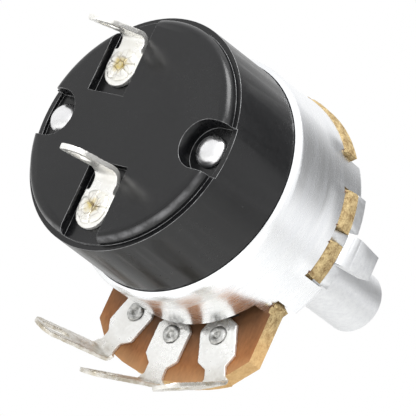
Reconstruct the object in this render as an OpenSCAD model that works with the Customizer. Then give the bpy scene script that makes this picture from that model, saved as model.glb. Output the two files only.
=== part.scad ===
// Rotary potentiometer, 24 mm class, with an on-off switch on its back.
// Each piece is drawn with the shaft's axis along Z, the shaft's tip at +Z and the terminals at -Y.
// stand() then turns it so that the shaft points along -Y and the terminals hang down.
// z = 0 is the face of the bushing's shoulder, which sits against the panel.

/* [Shaft] */
// Diameter of the shaft's free end, which takes a knob
shaft_d = 6.35; // [4:0.05:6.4]
// Diameter of the shaft's journal inside the bushing
journal_d = 6.8; // [6.6:0.1:7.4]
// Reach of the journal in front of the bushing
journal_proud = 0.2; // [0.1:0.1:0.5]
// Reach of the shaft in front of the mounting face
shaft_reach = 18.4; // [12:0.2:50]
// Chamfer on the shaft's tip
shaft_chamfer = 0.4; // [0.1:0.1:1]
// Diameter of the shaft's rear spigot, which carries the rotor
spigot_d = 4.8; // [3:0.1:5]
// Distance from the shaft's axis to the flat on the spigot
spigot_flat = 1.8; // [1.4:0.1:2.2]
// Diameter at the bottom of the retaining ring's groove
groove_d = 5.3; // [5.1:0.1:5.8]
// Radial running clearance of the shaft in its bushing
shaft_gap = 0.05; // [0.02:0.01:0.1]

/* [Bushing] */
// Outer diameter of the bushing over its thread
bushing_d = 9.53; // [8:0.01:11]
// Length of the bushing in front of the mounting face
bushing_len = 8; // [4:0.5:11]
// Chamfer on the front edge of the bushing
bushing_chamfer = 0.5; // [0.2:0.1:1]
// Diameter of the shoulder that meets the panel
shoulder_d = 13; // [12:0.5:16]
// Height of the shoulder over the mounting plate
shoulder_t = 0.6; // [0.5:0.1:1.5]
// Diameter of the spigot staked through the plate and the wafer
stake_d = 10; // [9:0.1:10.6]
// Depth of the spigot's rear end below the wafer's back face
stake_short = 0.2; // [0.1:0.1:0.6]

/* [Retaining ring] */
// Thickness of the retaining ring
ring_t = 0.5; // [0.3:0.1:0.8]
// Outer diameter of the retaining ring
ring_d = 9.2; // [7:0.1:9.6]
// Width of the ring's mouth as an angle
ring_mouth = 80; // [40:5:120]
// End play between the ring and the bushing
end_play = 0.1; // [0.05:0.01:0.2]

/* [Mounting plate] */
// Thickness of the mounting plate
plate_t = 1.2; // [0.8:0.1:1.6]
// Height of the plate's band across the wafer
plate_h = 13.8; // [13.2:0.2:15]
// Reach of the locating lug in front of the plate
lug_reach = 3.4; // [2:0.1:6]
// Width of the locating lug at its root
lug_root_w = 2.9; // [2:0.1:3.4]
// Width of the locating lug at its tip
lug_tip_w = 2.3; // [1.5:0.1:2.8]
// Distance from the axis to the outer face of the locating lug
lug_face_x = 12.9; // [12.6:0.1:14]
// Distance of the locating lug below the shaft's level
lug_drop = 0.6; // [0:0.1:1]
// Inside radius of the locating lug's bend
lug_bend_r = 0.4; // [0.2:0.1:0.8]
// Width of the plate's rear tab in the wafer's notch
key_w = 1.1; // [0.6:0.1:1.6]
// Length of the rear tab's root on the plate
key_root = 0.6; // [0.4:0.1:1]

/* [Wafer] */
// Diameter of the wafer's round part
wafer_d = 25; // [24.4:0.1:26]
// Thickness of the wafer
wafer_t = 1.7; // [1.2:0.1:2.4]
// Width of the tail that carries the terminals
tail_w = 18.9; // [17.5:0.1:20]
// Radius of the tail's bottom edge
tail_r = 17.1; // [16.6:0.1:19]
// Length of the tail's straight sides below the axis
tail_side = 13.2; // [12:0.1:14]
// Size of the chamfer on the tail's corners
tail_corner = 2.1; // [1:0.1:3]

/* [Track and collector] */
// Mean radius of the resistive track
track_r = 9.4; // [8.8:0.1:9.6]
// Width of the resistive track
track_w = 2.2; // [1.5:0.1:2.6]
// Thickness of the printed track
track_t = 0.1; // [0.05:0.01:0.2]
// Half of the track's open angle at the bottom
track_open = 26; // [22:1:28]
// Mean radius of the collector ring
collector_r = 6.4; // [6.1:0.1:6.8]
// Width of the collector ring
collector_w = 1.6; // [1:0.1:2]
// Thickness of the collector ring
collector_t = 0.3; // [0.2:0.05:0.5]
// Width of the collector's stem to the middle terminal
stem_w = 2.4; // [1.5:0.1:3]

/* [Terminals] */
// Thickness of the terminals' sheet
terminal_t = 0.4; // [0.3:0.05:0.6]
// Width of a terminal's plate
terminal_w = 3.9; // [3.4:0.1:4.2]
// Width of a terminal's neck
terminal_neck_w = 2.2; // [1.8:0.1:2.6]
// Width of a terminal's lug
terminal_lug_w = 2.8; // [2.2:0.1:3.2]
// Radius where the terminals' plates start
terminal_in = 11.3; // [10.9:0.1:11.5]
// Radius where the terminals' plates end
terminal_out = 15.1; // [14.6:0.1:15.4]
// Angle between two terminals
terminal_pitch = 23.5; // [22:0.5:24]
// Length of a terminal's lug behind its bend
terminal_lug = 8.2; // [5:0.1:12]
// Turn of the three lugs at their bends, from the left one to the right one
terminal_turns = [67, 75, 84]; // [45:1:95]
// Inside radius of the terminals' bends
bend_r = 0.4; // [0.3:0.05:0.6]
// Radius of the circle of the terminals' rivets
rivet_orbit = 12.85; // [12.7:0.05:13.4]
// Diameter of a terminal rivet's shank
rivet_d = 1.7; // [1.2:0.1:2]
// Diameter of a terminal rivet's head
rivet_head_d = 2.7; // [2.2:0.1:3]
// Height of a terminal rivet's head
rivet_head_t = 0.4; // [0.3:0.05:0.6]
// Width of the oblong eyes in the terminals' lugs
eye_w = 1.2; // [0.8:0.1:1.6]
// Length of the oblong eyes in the terminals' lugs
eye_len = 3.2; // [2:0.1:4]

/* [Rotor and wiper] */
// Diameter of the rotor's disc
rotor_d = 21.6; // [20:0.2:22.4]
// Thickness of the rotor's disc
rotor_t = 1.4; // [1:0.1:2]
// Diameter of the rotor's hub
hub_d = 8; // [7.4:0.1:8.4]
// Space between the wafer's back face and the rotor's disc
rotor_space = 1.7; // [1.5:0.1:2]
// Distance from the axis to the driving dog
dog_orbit = 5.4; // [5.3:0.1:5.8]
// Diameter of the driving dog
dog_d = 1.8; // [1.4:0.1:2]
// Thickness of the wiper's sheet
wiper_t = 0.25; // [0.2:0.05:0.4]
// Width of a wiper's finger
finger_w = 1; // [0.6:0.1:1.4]
// Length of a wiper's finger
finger_len = 4.2; // [3.5:0.1:5]
// Radius of the dimple at the end of a wiper's finger
dimple_r = 0.4; // [0.3:0.05:0.5]
// Gap between a sliding contact and its track
contact_gap = 0.1; // [0.05:0.01:0.2]
// Bearing of the wiper at rest, with the shaft fully anticlockwise
wiper_rest = 240; // [235:1:245]

/* [Can] */
// Outer diameter of the can
can_d = 24; // [23.8:0.1:24.2]
// Thickness of the can's wall
can_t = 0.4; // [0.3:0.05:0.5]
// Depth of the can behind the wafer
can_depth = 7.5; // [7.4:0.1:12]
// Outside radius of the can's shoulder
can_round = 0.8; // [0.6:0.1:0.9]
// Angle from the can's side to the near edge of a fold tab
tab_from = 21.5; // [19:0.5:23]
// Angle from the can's side to the far edge of a fold tab
tab_to = 37; // [34:0.5:40]
// Length of a tab that is folded over the plate
tab_fold = 2.3; // [1.5:0.1:3]
// Half of the angle of the cut-out over the terminals
tail_cut = 45; // [42:1:50]
// Depth of the cut-out over the terminals
tail_cut_depth = 1.4; // [1.2:0.1:2.5]

/* [Switch housing] */
// Diameter of the switch housing where it leaves the can
housing_d = 22.9; // [22.4:0.1:23]
// Draft of the housing's wall, at its back edge
housing_draft = 0.25; // [0:0.05:0.4]
// Depth of the housing's wall behind the can
housing_depth = 8; // [7.6:0.1:12]
// Thickness of the housing's round wall
housing_wall = 1.4; // [1.3:0.1:1.6]
// Height of the raised back face over the wall's back edge
face_rise = 1.1; // [0.8:0.1:1.6]
// Diameter of the raised back face
face_d = 21.4; // [20.8:0.1:22]
// Radius of the back face's rounded edge
face_round = 0.8; // [0.3:0.1:1]
// Depth of the two lug channels below the back face
channel_depth = 0.9; // [0.7:0.1:1]
// Depth of the two rivet recesses below the back face
recess_depth = 1.7; // [1.4:0.1:2]
// Radius of the two rivet recesses
recess_r = 2.3; // [2.1:0.1:2.5]
// Height of the thin rib outside each rivet recess
rib_h = 0.4; // [0.2:0.1:0.8]
// Thickness of the rib outside each rivet recess
rib_t = 0.5; // [0.3:0.1:0.7]
// Thickness of the housing's floor under the channels
floor_t = 1.8; // [1.6:0.1:2]
// Thickness of the insulating base that closes the housing
base_t = 1; // [0.8:0.1:1.2]
// Thickness of the housing's flange inside the can
flange_t = 0.7; // [0.7:0.1:1]
// Distance from the axis to each of the two housing rivets
housing_rivet_x = 9; // [8.8:0.1:9.2]
// Diameter of a housing rivet's shank
housing_rivet_d = 1.6; // [1.2:0.1:2]
// Diameter of a housing rivet's domed head
dome_d = 3; // [2.4:0.1:3.2]
// Height of a housing rivet's domed head
dome_h = 1; // [0.7:0.1:1.2]

/* [Switch lugs] */
// Place of the upper lug's rivet, across and up
upper_at = [4.1, 5.6]; // [-7:0.05:7]
// Place of the lower lug's rivet, across and up
lower_at = [-0.15, -7.5]; // [-8:0.05:8]
// Turn of the upper lug at its bend
upper_turn = 103; // [80:1:110]
// Turn of the lower lug at its bend
lower_turn = 96; // [80:1:110]
// Thickness of the switch lugs' sheet
lug_t = 0.5; // [0.4:0.05:0.6]
// Width of a lug's base strip
lug_w = 3.6; // [3:0.1:3.8]
// Width of a lug's neck and upright
lug_neck_w = 2.8; // [2:0.1:3]
// Distance from the rivet to the round end of the base strip
lug_tail = 2; // [1.8:0.1:2.4]
// Distance from the rivet to the start of the neck
lug_shoulder = 1.5; // [1.3:0.1:2]
// Distance from the rivet to the bend
lug_bend_at = 2.3; // [2:0.1:3]
// Length of a lug's upright
lug_upright = 5; // [4:0.1:8]
// Inside radius of the upper lug's bend
upper_bend_r = 0.5; // [0.3:0.05:0.8]
// Inside radius of the lower lug's bend
lower_bend_r = 0.9; // [0.4:0.05:1]
// Side clearance of a lug in its channel
channel_gap = 0.4; // [0.1:0.05:0.5]
// Diameter of a contact rivet's shank
contact_rivet_d = 1.5; // [1.2:0.1:1.8]
// Diameter of a contact rivet's heads
contact_head_d = 2.3; // [2:0.1:2.6]
// Height of a contact rivet's heads
contact_head_t = 0.4; // [0.3:0.05:0.5]

/* [Switch mechanism] */
// Distance from the shaft's axis to the toggle's pin
pin_orbit = 8.2; // [8:0.05:8.3]
// Bearing of the toggle's pin
pin_bearing = 110; // [108:1:114]
// Diameter of the toggle's pin
pin_d = 2; // [1.6:0.1:2.1]
// Radial running clearance of the toggle on its pin
pin_gap = 0.05; // [0.02:0.01:0.1]
// Full swing of the toggle between off and on
toggle_swing = 40; // [36:1:42]
// Diameter of the toggle's hub
toggle_hub_d = 3.3; // [3:0.1:3.4]
// Thickness of the toggle's lever
toggle_t = 2; // [1.5:0.1:2.4]
// Reach of the fork from the pin
fork_reach = 3.6; // [3.4:0.1:3.8]
// Clearance of the fork on each side of the dog
fork_gap = 0.1; // [0.05:0.05:0.2]
// Thickness of each prong of the fork
prong_t = 0.8; // [0.6:0.1:1]
// Length of the toggle's detent arm from the pin
detent_reach = 3.2; // [3:0.1:3.4]
// Radius of the nose at the end of the detent arm
nose_r = 0.5; // [0.4:0.1:0.6]
// Thickness of the sheet of the inner contacts and springs
spring_t = 0.3; // [0.2:0.05:0.35]
// Width of the moving contact's arm
contact_w = 1.6; // [1.2:0.1:2]

/* [Hidden] */
$fn = 64;

// Small overlap that makes a cut pass its face
cut = 1;
// Seat clearance of pieces that lie side by side without moving
seat_gap = 0.05;
// A bend is drawn slightly tighter than its strip and lapped by it, so that the two join cleanly
bend_tight = 0.01;
bend_lap = 0.05;

// Levels along the axis, from the front to the back
plate_front = -shoulder_t;
plate_back = plate_front - plate_t;
wafer_back = plate_back - wafer_t;
stake_back = wafer_back + stake_short;
ring_front = stake_back - end_play;
ring_back = ring_front - ring_t;
rotor_front = wafer_back - rotor_space;
rotor_back = rotor_front - rotor_t;
can_back = wafer_back - can_depth;
flange_back = can_back + can_t;
flange_front = flange_back + flange_t;
base_front = flange_front + base_t;
wall_back = can_back - housing_depth;
face_back = wall_back - face_rise;
channel_floor = face_back + channel_depth;
recess_floor = face_back + recess_depth;
floor_front = channel_floor + floor_t;

// The fork stands a little proud of the base, and the dog ends just in front of it
fork_proud = 0.3;
dog_short = 0.3;
fork_tip = base_front + fork_proud;
dog_tip = fork_tip + dog_short;

// Radii
shaft_r = shaft_d / 2;
journal_r = journal_d / 2;
can_r = can_d / 2;
can_in = can_r - can_t;
seat_r = can_in - seat_gap;
wafer_r = wafer_d / 2;
stake_r = stake_d / 2;
housing_r = housing_d / 2;
lip_r = housing_r + seat_gap;
cavity_r = housing_r - housing_wall;
column_r = housing_rivet_d / 2 + 0.6;
lug_bend_x = lug_face_x - plate_t - lug_bend_r;
key_in = lug_bend_x - key_root;

// The toggle's places, with bearings from +X, anticlockwise as seen from the front
pin_at = pin_orbit * [cos(pin_bearing), sin(pin_bearing)];
fork_off = pin_bearing + 180 - toggle_swing / 2;
dog_rest = pin_bearing + asin(pin_orbit * sin(toggle_swing / 2) / (dog_orbit)) - toggle_swing / 2;
contact_span = norm(upper_at - pin_at);
contact_on = atan2(upper_at[1] - pin_at[1], upper_at[0] - pin_at[0]);
contact_off = contact_on - toggle_swing;
detent_off = pin_bearing + 85;
fork_half_w = dog_d / 2 + fork_gap + prong_t;
prong_from = pin_d / 2 + 1.1;
window_in = prong_from - 0.3;
window_out = norm([fork_reach, fork_half_w]) + 0.3;
window_lead = atan2(fork_half_w, prong_from) + 6;
lever_front = flange_front - 0.2;
lever_back = lever_front - toggle_t;
common_collar = 1.1;
contact_back = floor_front + common_collar + seat_gap;
contact_front = contact_back + spring_t;
toggle_back = contact_front + spring_t + 0.2;

// Turns the axis from +Z to -Y
module stand() {
    rotate([90, 0, 0]) children();
}

// Round bar between two levels
module bar(low, high, r) {
    translate([0, 0, low]) cylinder(h = high - low, r = r);
}

// Ring or part of a ring between two levels and two bearings
module sector(low, high, r_in, r_out, from = 0, sweep = 360) {
    rotate([0, 0, from]) rotate_extrude(angle = sweep) translate([r_in, low]) square([r_out - r_in, high - low]);
}

// Half profile of a round body whose back edge is rounded
module rounded_profile(r, back, front, edge) {
    translate([0, back + edge]) square([r, front - back - edge]);
    translate([0, back]) square([r - edge, front - back]);
    translate([r - edge, back + edge]) circle(r = edge);
}

// Outline of an oblong with round ends, along X and centred
module oblong(length, width) {
    square([length - width, width], center = true);
    for (side = [-1, 1]) translate([side * (length - width) / 2, 0]) circle(d = width);
}

// Outline of a strip with one round end along X, which may start a little before x = 0
module tongue(length, width, lap = 0) {
    translate([-lap, -width / 2]) square([length - width / 2 + lap, width]);
    translate([length - width / 2, 0]) circle(d = width);
}

// Flat bar with round ends between two places
module link(a, b, width, low, high) {
    translate([a[0], a[1], low]) rotate([0, 0, atan2(b[1] - a[1], b[0] - a[0])])
        linear_extrude(high - low) translate([norm(b - a) / 2, 0]) oblong(norm(b - a) + width, width);
}

// Bend of a strip that comes along X with its lower face at z = 0 and turns up
module bend(width, t, inner_r, turn) {
    translate([0, 0, t + inner_r]) rotate([90, 90, 0]) rotate_extrude(angle = turn)
        translate([inner_r - bend_tight, -width / 2]) square([t, width]);
}

// Carries what follows a bend to the strip's new direction
module after_bend(t, inner_r, turn) {
    translate([0, 0, t + inner_r]) rotate([0, -turn, 0]) translate([0, 0, -t - inner_r]) children();
}

// Lays a strip on the wafer's back face, running outward at an angle from the bottom
module on_wafer(angle) {
    rotate([0, 0, angle]) translate([0, 0, wafer_back]) rotate([180, 0, -90]) children();
}

// Lays a strip in a channel of the housing's back, running upward from its rivet
module on_back(place) {
    translate([place[0], place[1], channel_floor]) rotate([180, 0, 90]) children();
}

// Puts a shape at the toggle's pin, turned to a bearing
module at_pin(bearing = 0) {
    translate([pin_at[0], pin_at[1], 0]) rotate([0, 0, bearing]) children();
}

// The four fold tabs' bearings, each the middle of its tab
tab_mid = (tab_from + tab_to) / 2;
tab_bearings = [tab_mid, 180 - tab_mid, 180 + tab_mid, -tab_mid];
tab_sweep = tab_to - tab_from;

// Room for the fold tabs in the rim of the plate and the wafer
module tab_notches(low, high) {
    room = tab_sweep + 2;
    for (bearing = tab_bearings)
        sector(low - cut, high + cut, seat_r, wafer_r + cut, bearing - room / 2, room);
}

module mounting_plate() {
    color("silver") stand() {
        difference() {
            translate([0, 0, plate_back]) linear_extrude(plate_t) intersection() {
                circle(r = wafer_r);
                square([2 * wafer_r, plate_h], center = true);
            }
            bar(plate_back - cut, plate_front + cut, stake_r);
            tab_notches(plate_back, plate_front);
            translate([-wafer_r - cut, -lug_root_w / 2 - 0.3 - lug_drop, plate_back - cut])
                cube([wafer_r + cut - lug_bend_x - bend_lap, lug_root_w + 0.6, plate_t + 2 * cut]);
        }
        translate([-lug_bend_x, -lug_drop, plate_back]) rotate([0, 0, 180]) {
            bend(lug_root_w, plate_t, lug_bend_r, 90);
            after_bend(plate_t, lug_bend_r, 90) linear_extrude(plate_t) polygon([
                [-bend_lap, -lug_root_w / 2], [-bend_lap, lug_root_w / 2],
                [lug_reach - lug_bend_r, lug_tip_w / 2], [lug_reach - lug_bend_r, -lug_tip_w / 2]]);
        }
        translate([-wafer_r, -key_w / 2, wafer_back]) cube([wafer_r - key_in, key_w, wafer_t]);
    }
}

module bushing() {
    bore_r = journal_r + shaft_gap;
    barrel_r = bushing_d / 2;
    color("lightsteelblue") stand() rotate_extrude() polygon([
        [bore_r, stake_back], [stake_r, stake_back], [stake_r, plate_front],
        [shoulder_d / 2, plate_front], [shoulder_d / 2, 0], [barrel_r, 0],
        [barrel_r, bushing_len - bushing_chamfer], [barrel_r - bushing_chamfer, bushing_len],
        [bore_r, bushing_len]]);
}

// Outline of the shaft's spigot, a round with one flat
module spigot_outline() {
    intersection() {
        circle(d = spigot_d);
        translate([-spigot_d / 2, -spigot_d / 2]) square([spigot_d, spigot_d / 2 + spigot_flat]);
    }
}

module shaft() {
    color("gainsboro") stand() {
        rotate_extrude() polygon([
            [0, ring_back], [groove_d / 2, ring_back], [groove_d / 2, ring_front], [journal_r, ring_front],
            [journal_r, bushing_len + journal_proud], [shaft_r, bushing_len + journal_proud],
            [shaft_r, shaft_reach - shaft_chamfer], [shaft_r - shaft_chamfer, shaft_reach], [0, shaft_reach]]);
        translate([0, 0, dog_tip]) linear_extrude(ring_back - dog_tip) spigot_outline();
    }
}

module retaining_ring() {
    color("dimgray") stand()
        sector(ring_back, ring_front, groove_d / 2, ring_d / 2, 90 + ring_mouth / 2, 360 - ring_mouth);
}

module wafer() {
    tail_in = tail_w / 2 - tail_corner;
    tail_low = -tail_side - tail_corner;
    color("sienna") stand() difference() {
        translate([0, 0, wafer_back]) linear_extrude(wafer_t) {
            circle(r = wafer_r);
            intersection() {
                circle(r = tail_r);
                polygon([[-tail_w / 2, 0], [tail_w / 2, 0], [tail_w / 2, -tail_side], [tail_in, tail_low],
                    [tail_in, -tail_r], [-tail_in, -tail_r], [-tail_in, tail_low], [-tail_w / 2, -tail_side]]);
            }
        }
        bar(wafer_back - cut, plate_back + cut, stake_r + seat_gap);
        tab_notches(wafer_back, plate_back);
        translate([-wafer_r - cut, -key_w / 2, wafer_back - cut])
            cube([wafer_r - key_in + cut, key_w, wafer_t + 2 * cut]);
        for (step = [-1:1]) on_wafer(step * terminal_pitch) translate([rivet_orbit, 0, -wafer_t - cut])
            cylinder(h = wafer_t + 2 * cut, d = rivet_d);
    }
}

module resistive_track() {
    outer = track_r + track_w / 2;
    color("black") stand() {
        sector(wafer_back - track_t, wafer_back, track_r - track_w / 2, outer,
            -90 + track_open, 360 - 2 * track_open);
        for (side = [-1, 1]) on_wafer(side * (track_open + 3))
            translate([track_r, -0.8, 0]) cube([terminal_in - seat_gap - track_r, 1.6, track_t]);
    }
}

module collector_ring() {
    inner = collector_r - collector_w / 2;
    outer = collector_r + collector_w / 2;
    color("silver") stand() {
        sector(wafer_back - collector_t, wafer_back, inner, outer);
        on_wafer(0) translate([collector_r, -stem_w / 2, 0])
            cube([terminal_in - collector_r, stem_w, collector_t]);
    }
}

// One terminal: a plate riveted to the wafer, a neck over its edge and a lug bent backward
module terminal(turn) {
    bend_start = tail_r + 0.1;
    half_plate = terminal_w / 2;
    half_neck = terminal_neck_w / 2;
    half_lug = terminal_lug_w / 2;
    neck_at = terminal_out + half_plate - half_neck;
    flare = half_lug - half_neck;
    corner = 0.8;
    difference() {
        union() {
            linear_extrude(terminal_t) polygon([
                [terminal_in + corner, -half_plate], [terminal_out, -half_plate], [neck_at, -half_neck],
                [bend_start - flare, -half_neck], [bend_start, -half_lug], [bend_start + bend_lap, -half_lug],
                [bend_start + bend_lap, half_lug], [bend_start, half_lug], [bend_start - flare, half_neck],
                [neck_at, half_neck], [terminal_out, half_plate], [terminal_in + corner, half_plate],
                [terminal_in, half_plate - corner], [terminal_in, corner - half_plate]]);
            translate([bend_start, 0, 0]) {
                bend(terminal_lug_w, terminal_t, bend_r, turn);
                after_bend(terminal_t, bend_r, turn) linear_extrude(terminal_t) difference() {
                    tongue(terminal_lug, terminal_lug_w, bend_lap);
                    translate([terminal_lug - eye_len / 2 - 0.8, 0]) oblong(eye_len, eye_w);
                }
            }
        }
        translate([rivet_orbit, 0, -cut]) cylinder(h = terminal_t + 2 * cut, d = rivet_d);
    }
}

module terminal_left() {
    color("whitesmoke") stand() on_wafer(-terminal_pitch) terminal(terminal_turns[0]);
}

module terminal_wiper() {
    color("whitesmoke") stand() on_wafer(0) terminal(terminal_turns[1]);
}

module terminal_right() {
    color("whitesmoke") stand() on_wafer(terminal_pitch) terminal(terminal_turns[2]);
}

// Hollow rivet through the wafer and a terminal's plate
module terminal_rivets() {
    head_r = rivet_head_d / 2;
    pit_r = rivet_d / 4;
    color("darkgray") stand() for (step = [-1:1]) on_wafer(step * terminal_pitch)
        translate([rivet_orbit, 0, 0]) rotate_extrude() polygon([
            [0, -wafer_t - rivet_head_t], [head_r, -wafer_t - rivet_head_t], [head_r, -wafer_t],
            [rivet_d / 2, -wafer_t], [rivet_d / 2, terminal_t], [head_r, terminal_t],
            [head_r - 0.3, terminal_t + rivet_head_t], [pit_r + 0.2, terminal_t + rivet_head_t],
            [pit_r, terminal_t], [0, terminal_t]]);
}

module rotor() {
    color("tan") stand() difference() {
        union() {
            bar(rotor_back, rotor_front, rotor_d / 2);
            bar(dog_tip, ring_back, hub_d / 2);
            rotate([0, 0, dog_rest]) translate([dog_orbit, 0, 0]) bar(dog_tip, rotor_front, dog_d / 2);
        }
        translate([0, 0, dog_tip - cut]) linear_extrude(ring_back - dog_tip + 2 * cut) spigot_outline();
    }
}

// Finger that leans from the wiper's plate to its track and ends in a dimple
module wiper_finger(r, touch) {
    low = rotor_front + wiper_t / 5;
    high = low + wiper_t * 3 / 5;
    tip = touch - dimple_r - contact_gap;
    end = finger_w / 2;
    translate([r + finger_w / 2, 0, 0]) rotate([90, 0, -90]) linear_extrude(finger_w) polygon([
        [finger_len + 1, low], [finger_len + 1, high], [finger_len, high], [0, tip], [-end, tip],
        [-end, tip - wiper_t], [0, tip - wiper_t], [finger_len, low]]);
    translate([r, 0, 0]) bar(tip - wiper_t / 2, touch - contact_gap, dimple_r);
}

module wiper_spring() {
    lead = [-50, -22];
    plate_r = track_r + finger_w;
    color("goldenrod") stand() rotate([0, 0, wiper_rest]) {
        translate([0, 0, rotor_front]) linear_extrude(wiper_t) difference() {
            union() {
                circle(d = hub_d + 2.4);
                intersection() {
                    circle(r = plate_r);
                    polygon([[0, 0], for (angle = lead) 2 * plate_r * [cos(angle), sin(angle)]]);
                }
            }
            circle(d = hub_d);
        }
        wiper_finger(track_r, wafer_back - track_t);
        wiper_finger(collector_r, wafer_back - collector_t);
    }
}

// Half profile of the can with its rim folded over all round, before the tabs are parted
module can_profile() {
    fold_top = plate_front + can_t;
    difference() {
        union() {
            rounded_profile(can_r, can_back, wafer_back, can_round);
            mirror([0, 1]) rounded_profile(can_r, -fold_top, -wafer_back, can_t * 1.5);
        }
        rounded_profile(can_in, flange_back, plate_front, can_round - can_t);
        translate([0, can_back - cut]) square([lip_r, 2 * cut]);
        translate([0, plate_front - cut]) square([can_in - tab_fold, can_t + 2 * cut]);
    }
}

module can() {
    side_gap = 2 * tab_from;
    top_gap = 180 - 2 * tab_to;
    color("silver") stand() difference() {
        rotate_extrude() can_profile();
        for (side = [0, 180]) {
            sector(wafer_back, cut, 0, can_r + cut, side - tab_from, side_gap);
            sector(wafer_back, cut, 0, can_r + cut, side + tab_to, top_gap);
        }
        sector(wafer_back - tail_cut_depth, cut, 0, can_r + cut, -90 - tail_cut, 2 * tail_cut);
    }
}

module switch_base() {
    color("peru") stand() difference() {
        bar(flange_front, base_front, seat_r);
        at_pin() bar(flange_front - cut, base_front + cut, pin_d / 2);
        at_pin() sector(flange_front - cut, base_front + cut, window_in, window_out,
            fork_off - window_lead, toggle_swing + 2 * window_lead);
        for (side = [-1, 1]) translate([side * housing_rivet_x, 0, 0])
            bar(flange_front - cut, base_front + cut, housing_rivet_d / 2);
    }
}

// Cut for a lug's channel, from below its round end out through the edge
module channel_cut(place, way) {
    half = lug_w / 2 + channel_gap;
    end = lug_tail + 0.9;
    inner_end = lug_bend_at + lug_t + lower_bend_r + 0.3;
    run = way > 0 ? [-end, housing_r * 2] : [-housing_r * 2, inner_end];
    translate([place[0] - half, place[1] + run[0], face_back - cut])
        cube([2 * half, run[1] - run[0], channel_depth + cut]);
}

// Cut of a rivet's recess, round towards the axis and open to the outside
module recess_cut(low, high) {
    translate([housing_rivet_x, 0, 0]) {
        bar(low, high, recess_r);
        translate([0, -recess_r, low]) cube([housing_r, 2 * recess_r, high - low]);
    }
}

module switch_housing() {
    chamfer = can_round - can_t;
    color([0.12, 0.12, 0.13]) stand() difference() {
        union() {
            rotate_extrude() polygon([
                [0, flange_front], [seat_r, flange_front], [seat_r, flange_back + chamfer],
                [housing_r, flange_back + chamfer + housing_r - seat_r],
                [housing_r - housing_draft, wall_back], [0, wall_back]]);
            rotate_extrude() rounded_profile(face_d / 2, face_back, wall_back + cut, face_round);
        }
        difference() {
            bar(floor_front, flange_front + cut, cavity_r);
            for (side = [-1, 1]) translate([side * housing_rivet_x, 0, 0])
                bar(floor_front - cut, flange_front, column_r);
        }
        channel_cut(upper_at, 1);
        channel_cut(lower_at, -1);
        for (side = [0, 180]) rotate([0, 0, side]) {
            translate([housing_rivet_x, 0, 0]) bar(face_back - cut, flange_front + cut, housing_rivet_d / 2);
            recess_cut(face_back - cut, recess_floor - rib_h);
            intersection() {
                bar(face_back - cut, recess_floor, housing_r - housing_draft - rib_t);
                recess_cut(face_back - cut - 1, recess_floor + 1);
            }
        }
        for (place = [upper_at, lower_at]) translate([place[0], place[1], 0])
            bar(face_back, floor_front + cut, contact_rivet_d / 2);
        at_pin() bar(channel_floor, floor_front + cut, pin_d / 2);
    }
}

module toggle_pin() {
    color("lightgray") stand() at_pin() bar(channel_floor, base_front, pin_d / 2);
}

// Outline of the toggle's fork, from the pin outward along X
module fork_outline() {
    web_from = 0.4;
    difference() {
        translate([web_from, -fork_half_w]) square([fork_reach - web_from, 2 * fork_half_w]);
        translate([window_in, prong_t - fork_half_w]) square([fork_reach, 2 * (fork_half_w - prong_t)]);
    }
}

module switch_toggle() {
    bore_r = pin_d / 2 + pin_gap;
    stud_at = contact_span * 0.55;
    arm_inset = 0.2;
    color("ivory") stand() difference() {
        union() {
            at_pin() bar(toggle_back, lever_front, toggle_hub_d / 2);
            at_pin(fork_off) translate([0, 0, lever_back]) linear_extrude(toggle_t) fork_outline();
            at_pin(fork_off) translate([0, 0, lever_back]) linear_extrude(fork_tip - lever_back)
                intersection() {
                    fork_outline();
                    translate([prong_from, -fork_half_w]) square([fork_reach, 2 * fork_half_w]);
                }
            at_pin(detent_off) translate([0, 0, lever_back + arm_inset])
                linear_extrude(toggle_t - 2 * arm_inset) tongue(detent_reach + nose_r, 2 * nose_r);
            at_pin(contact_off) translate([bore_r + arm_inset, -contact_w / 2, toggle_back + arm_inset / 2])
                cube([stud_at + contact_w / 2 - bore_r - arm_inset, contact_w, 1]);
            at_pin(contact_off) translate([stud_at, 0, 0]) bar(contact_back, toggle_back + 0.5, 0.4);
        }
        at_pin() bar(contact_back - cut, lever_front + cut, bore_r);
    }
}

module moving_contact() {
    stud_at = contact_span * 0.55;
    ring_r = pin_d / 2 + 0.8;
    color("goldenrod") stand() at_pin(contact_off) {
        difference() {
            union() {
                bar(contact_back, contact_front, ring_r);
                translate([0, 0, contact_back]) linear_extrude(spring_t)
                    tongue(contact_span + contact_w / 2, contact_w);
            }
            bar(contact_back - cut, contact_front + cut, pin_d / 2 + pin_gap);
            translate([stud_at, 0, 0]) bar(contact_back - cut, contact_front + cut, 0.45);
        }
        translate([contact_span, 0, 0])
            bar(floor_front + contact_head_t + contact_gap, contact_back, contact_w / 2 - 0.1);
    }
}

module contact_spring() {
    inner = pin_d / 2 + pin_gap;
    outer = pin_d / 2 + 0.6;
    color("darkgoldenrod") stand() at_pin() rotate_extrude() polygon([
        [inner, contact_front + 0.2], [outer, contact_front], [outer, contact_front + spring_t],
        [inner, contact_front + spring_t + 0.2]]);
}

module detent_spring() {
    leaf_at = detent_reach + 2 * nose_r + contact_gap;
    bearing = detent_off + toggle_swing / 2;
    color("goldenrod") stand() intersection() {
        at_pin(bearing) {
            translate([leaf_at, -3, lever_back]) cube([spring_t, 6, toggle_t]);
            translate([leaf_at, 0, 0]) bar(lever_back, lever_front, nose_r);
        }
        bar(floor_front, lever_front, cavity_r);
    }
}

module common_strip() {
    color("goldenrod") stand() difference() {
        union() {
            link(lower_at, pin_at, 2, floor_front, floor_front + spring_t);
            at_pin() bar(floor_front, floor_front + common_collar, pin_d / 2 + 0.6);
        }
        at_pin() bar(floor_front - cut, floor_front + common_collar + cut, pin_d / 2);
        translate([lower_at[0], lower_at[1], 0])
            bar(floor_front - cut, floor_front + spring_t + cut, contact_rivet_d / 2);
    }
}

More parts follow.
